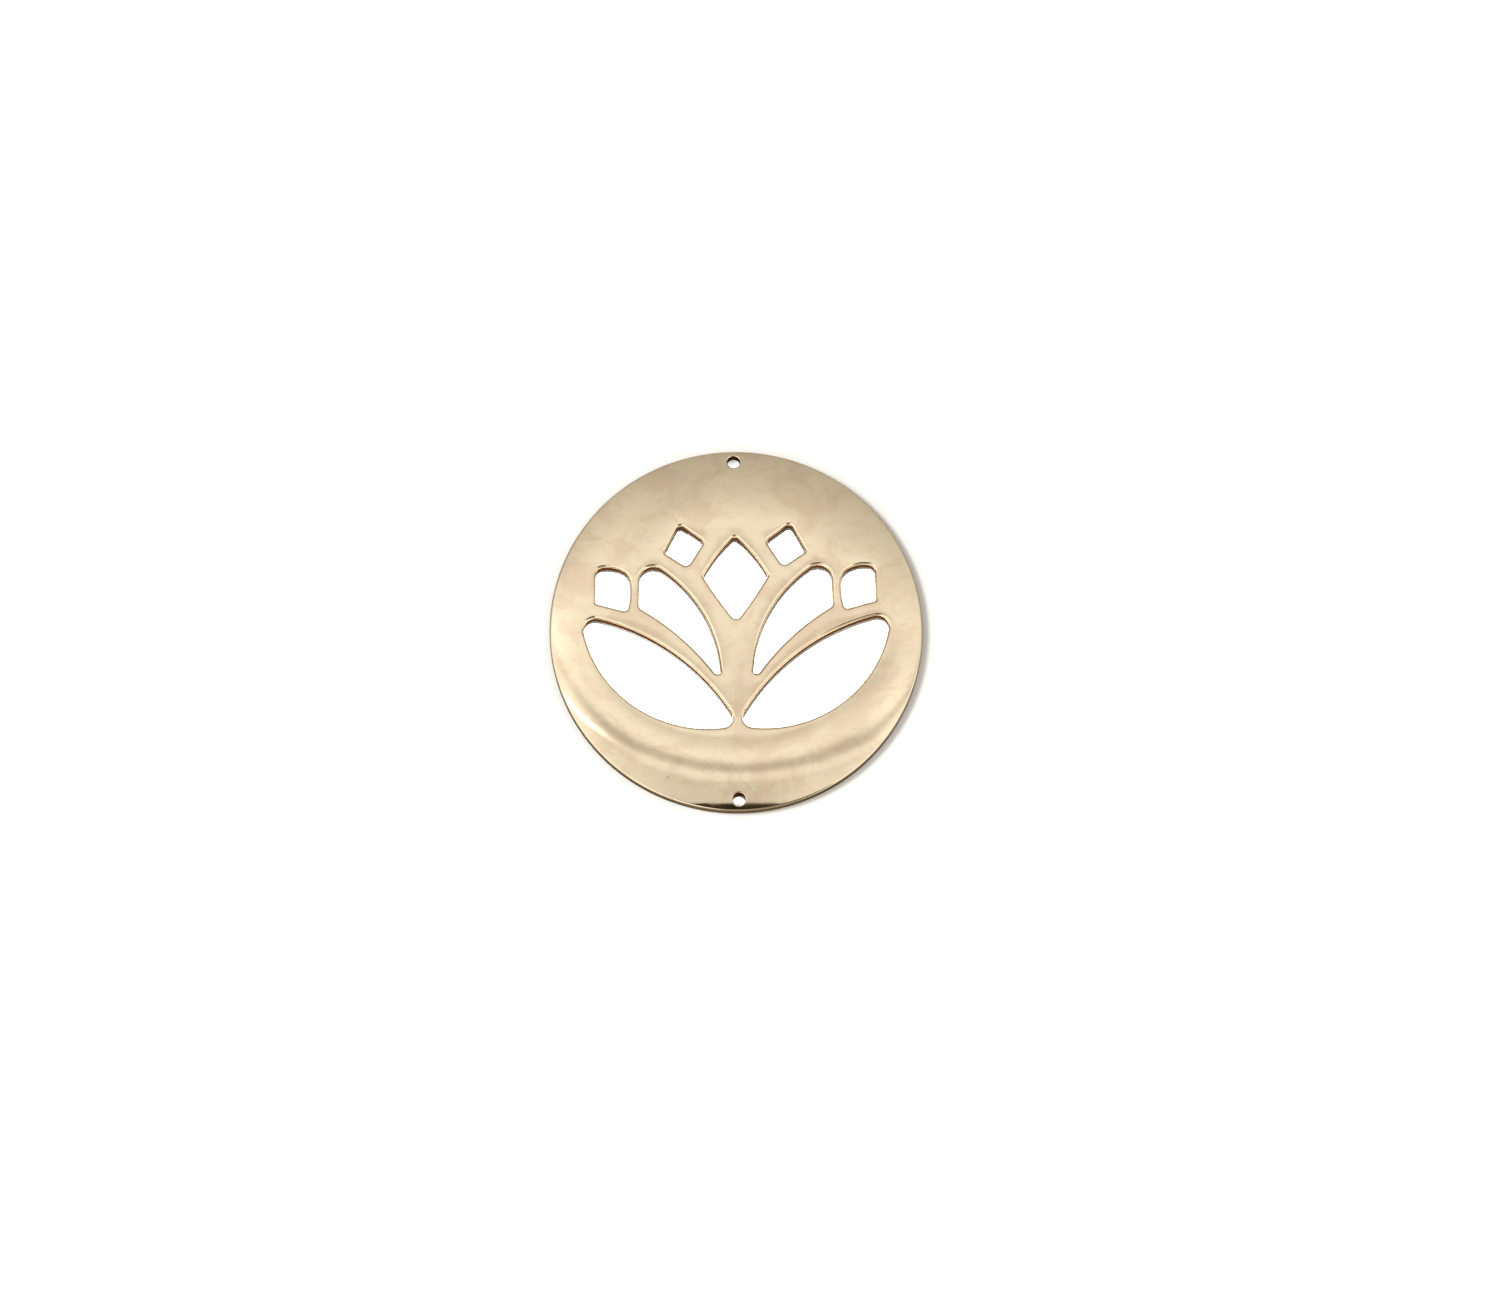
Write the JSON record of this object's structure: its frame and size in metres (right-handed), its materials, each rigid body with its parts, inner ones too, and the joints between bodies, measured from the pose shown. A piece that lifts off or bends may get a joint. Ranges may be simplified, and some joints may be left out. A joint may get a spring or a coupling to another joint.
{
  "type": "pierced disc connector",
  "caption": "Round domed metal disc pierced with a symmetric lotus and drilled with a small eyelet at each end, for linking into jewellery.",
  "frame": {"origin": "centre of the disc in plan, at the plane its rim rests on", "axes": "+Z out of the polished domed face, +Y towards the eyelet above the lotus, +X to the right of the lotus seen from the polished face"},
  "size_m": [0.038, 0.038, 0.0021],
  "materials": {
    "bronze": "polished, with a faint uneven tarnish and hairline scratches"
  },
  "bodies": {
    "root": {"lotus_disc": "bronze"}
  },
  "joints": []
}
